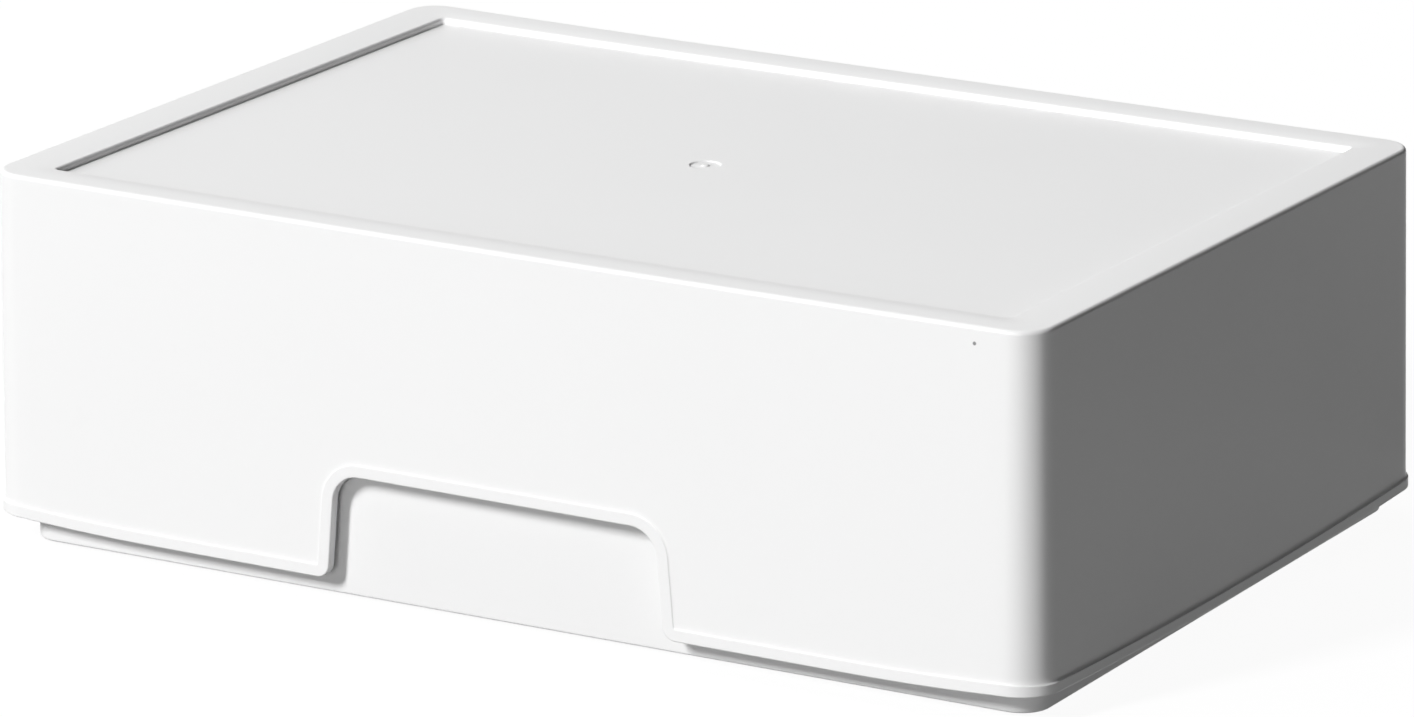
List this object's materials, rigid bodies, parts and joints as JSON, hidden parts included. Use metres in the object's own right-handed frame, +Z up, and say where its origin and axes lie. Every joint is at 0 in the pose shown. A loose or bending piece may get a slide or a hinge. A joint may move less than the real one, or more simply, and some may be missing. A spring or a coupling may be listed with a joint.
{
  "type": "stackable box with lift-off cover",
  "caption": "Low rectangular plastic box under a deep slip-over cover, with a flanged lower edge, a finger notch in front and a shallow stacking recess in the top.",
  "frame": {"origin": "centre of the footprint, on the face that the box stands on", "axes": "+X to the right along the width, +Y to the back (the finger notch faces -Y), +Z up, the way the cover lifts"},
  "size_m": [0.3, 0.202, 0.0955],
  "materials": {
    "cover_plastic": "satin white, injection moulded",
    "box_plastic": "satin white, injection moulded"
  },
  "bodies": {
    "box": {"inner_box": "box_plastic"},
    "cover": {"slip_over_cover": "cover_plastic"}
  },
  "joints": [
    {"name": "cover_lift", "type": "slide", "parent": "box", "child": "cover", "axis": [0, 0, 1], "range_m": [0, 0.1]}
  ]
}
